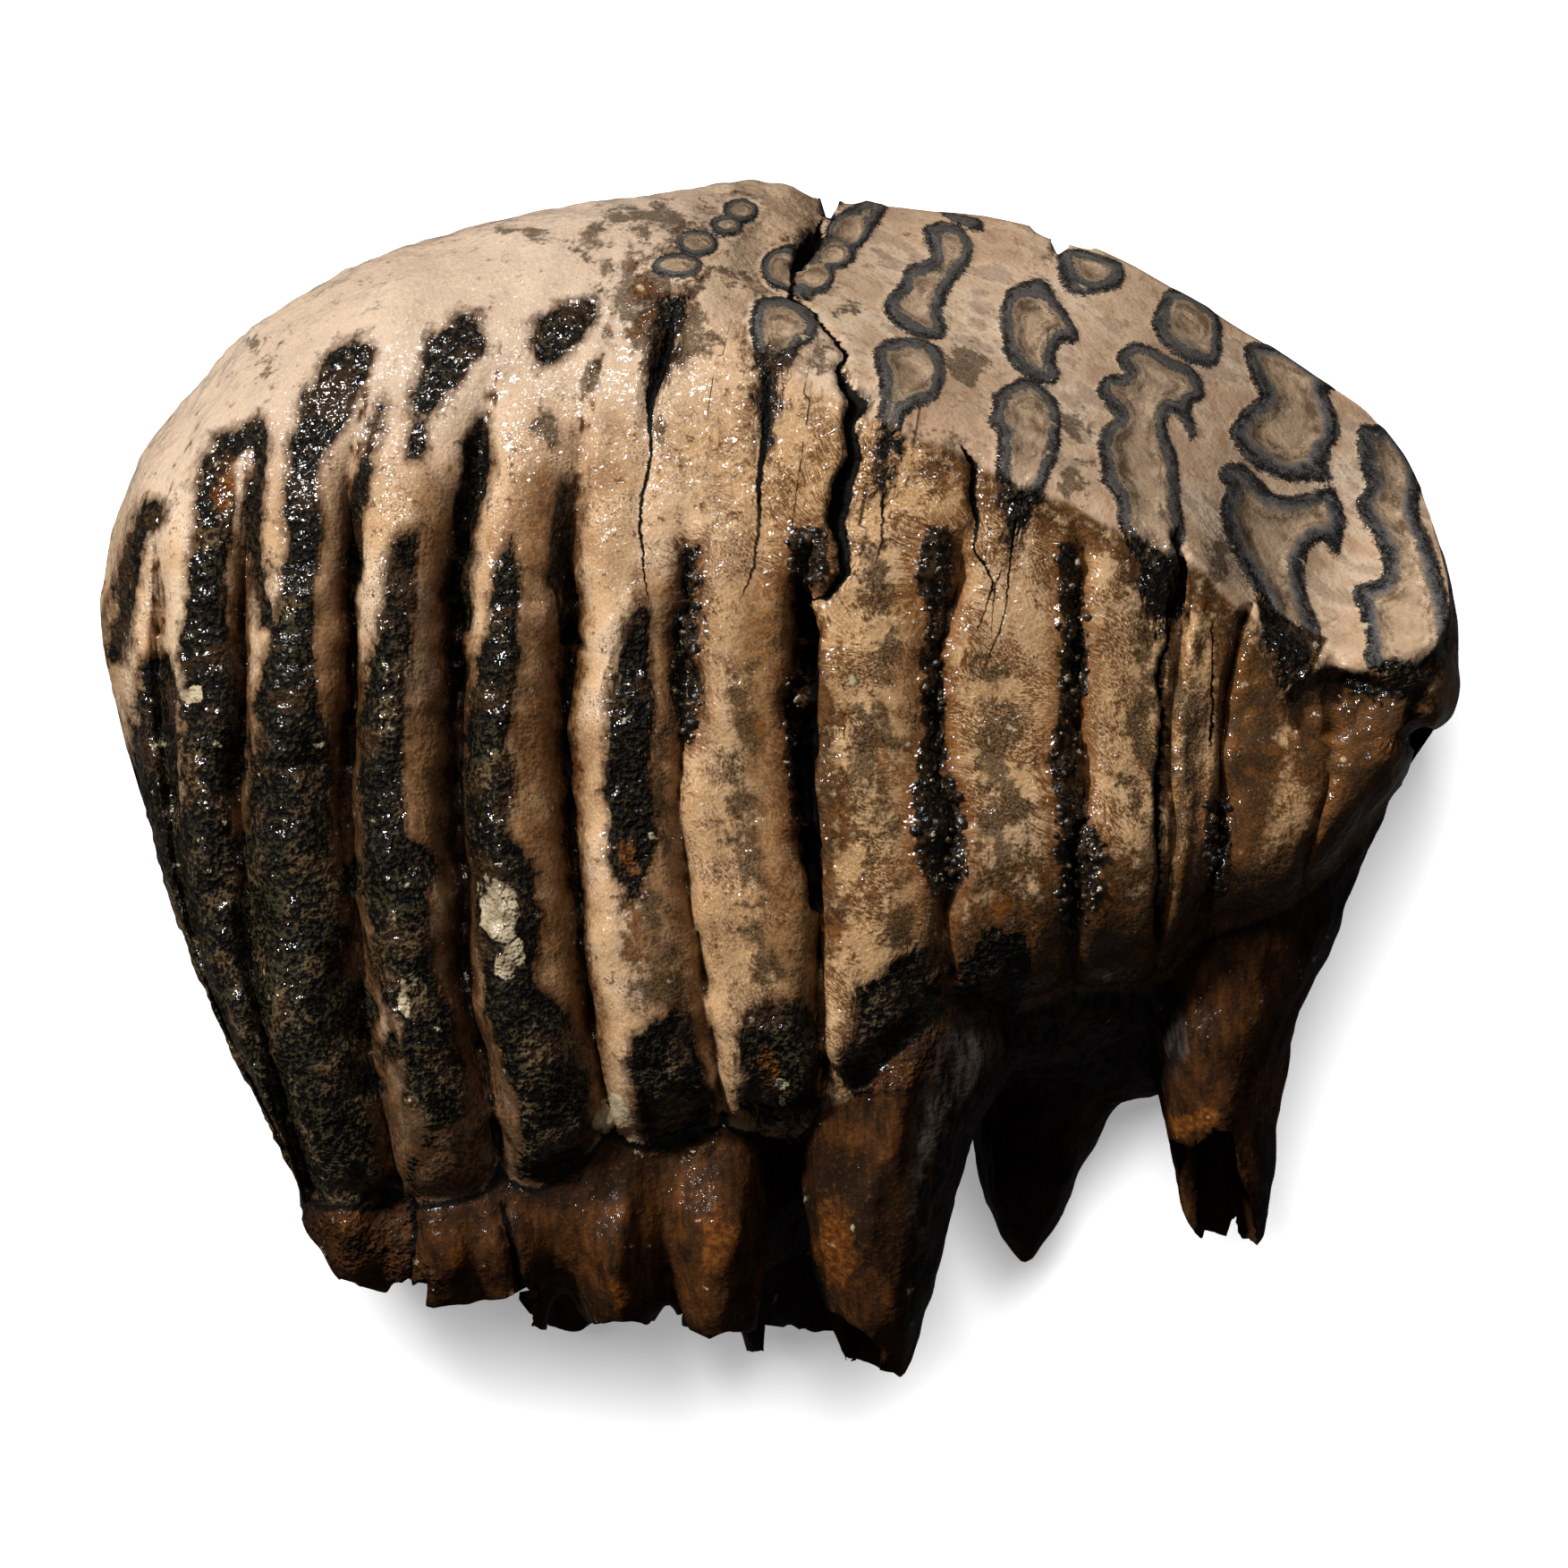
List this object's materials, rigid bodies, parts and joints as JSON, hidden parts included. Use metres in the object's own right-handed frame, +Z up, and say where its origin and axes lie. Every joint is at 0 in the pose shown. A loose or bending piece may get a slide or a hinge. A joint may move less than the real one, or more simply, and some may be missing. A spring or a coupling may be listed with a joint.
{
  "type": "young woolly mammoth molar, whole, with its roots",
  "caption": "Small fossil molar lying on its side: ridged crown of upright plates, a slanting worn chewing face with enamel loops, and broken-ended roots.",
  "frame": {"origin": "middle of the tooth's box, on the surface it lies on", "axes": "+X along the tooth towards its worn front, +Y from the roots towards the chewing end, +Z up, across the tooth's width"},
  "size_m": [0.1178, 0.1042, 0.051],
  "materials": {
    "tooth": "varnished cement, enamel and dentine, tan with black and brown stains"
  },
  "bodies": {
    "root": {"molar": "tooth"}
  },
  "joints": []
}
